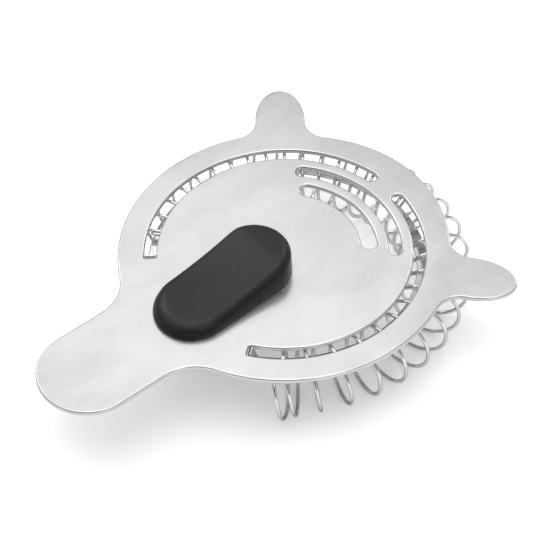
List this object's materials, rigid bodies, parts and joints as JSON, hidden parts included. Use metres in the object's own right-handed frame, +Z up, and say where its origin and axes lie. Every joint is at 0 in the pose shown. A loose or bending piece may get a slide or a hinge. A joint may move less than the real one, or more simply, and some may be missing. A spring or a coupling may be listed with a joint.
{
  "type": "hawthorne strainer",
  "caption": "Slotted round steel plate with a short handle and ears, a coil spring carried under its rim on a C-shaped band, and a soft raised finger rest.",
  "frame": {"origin": "on the surface that the strainer stands on, under the middle of its bounding box", "axes": "+X along the handle, from the handle's end to the front of the rim; +Y across, towards one ear; +Z up, through the plate and out of the finger rest"},
  "size_m": [0.1306, 0.1004, 0.0299],
  "materials": {
    "satin_steel": "satin, finely brushed, with polished edges",
    "spring_wire": "bright drawn wire",
    "band_steel": "bright rolled strip",
    "soft_rubber": "matte, very fine grain",
    "core_nylon": "moulded, matte",
    "screw_steel": "turned, bright"
  },
  "bodies": {
    "strainer_body": {"strainer_plate": "satin_steel", "spring_band": "band_steel", "finger_rest": "soft_rubber", "finger_rest_core": "core_nylon", "rest_screw_rear": "screw_steel", "rest_screw_front": "screw_steel"},
    "spring": {"coil_spring": "spring_wire"}
  },
  "joints": [
    {"name": "spring_press", "type": "slide", "parent": "strainer_body", "child": "spring", "axis": [-1, 0, 0], "range_m": [0, 0.003], "stiffness_N_per_m": 300}
  ]
}
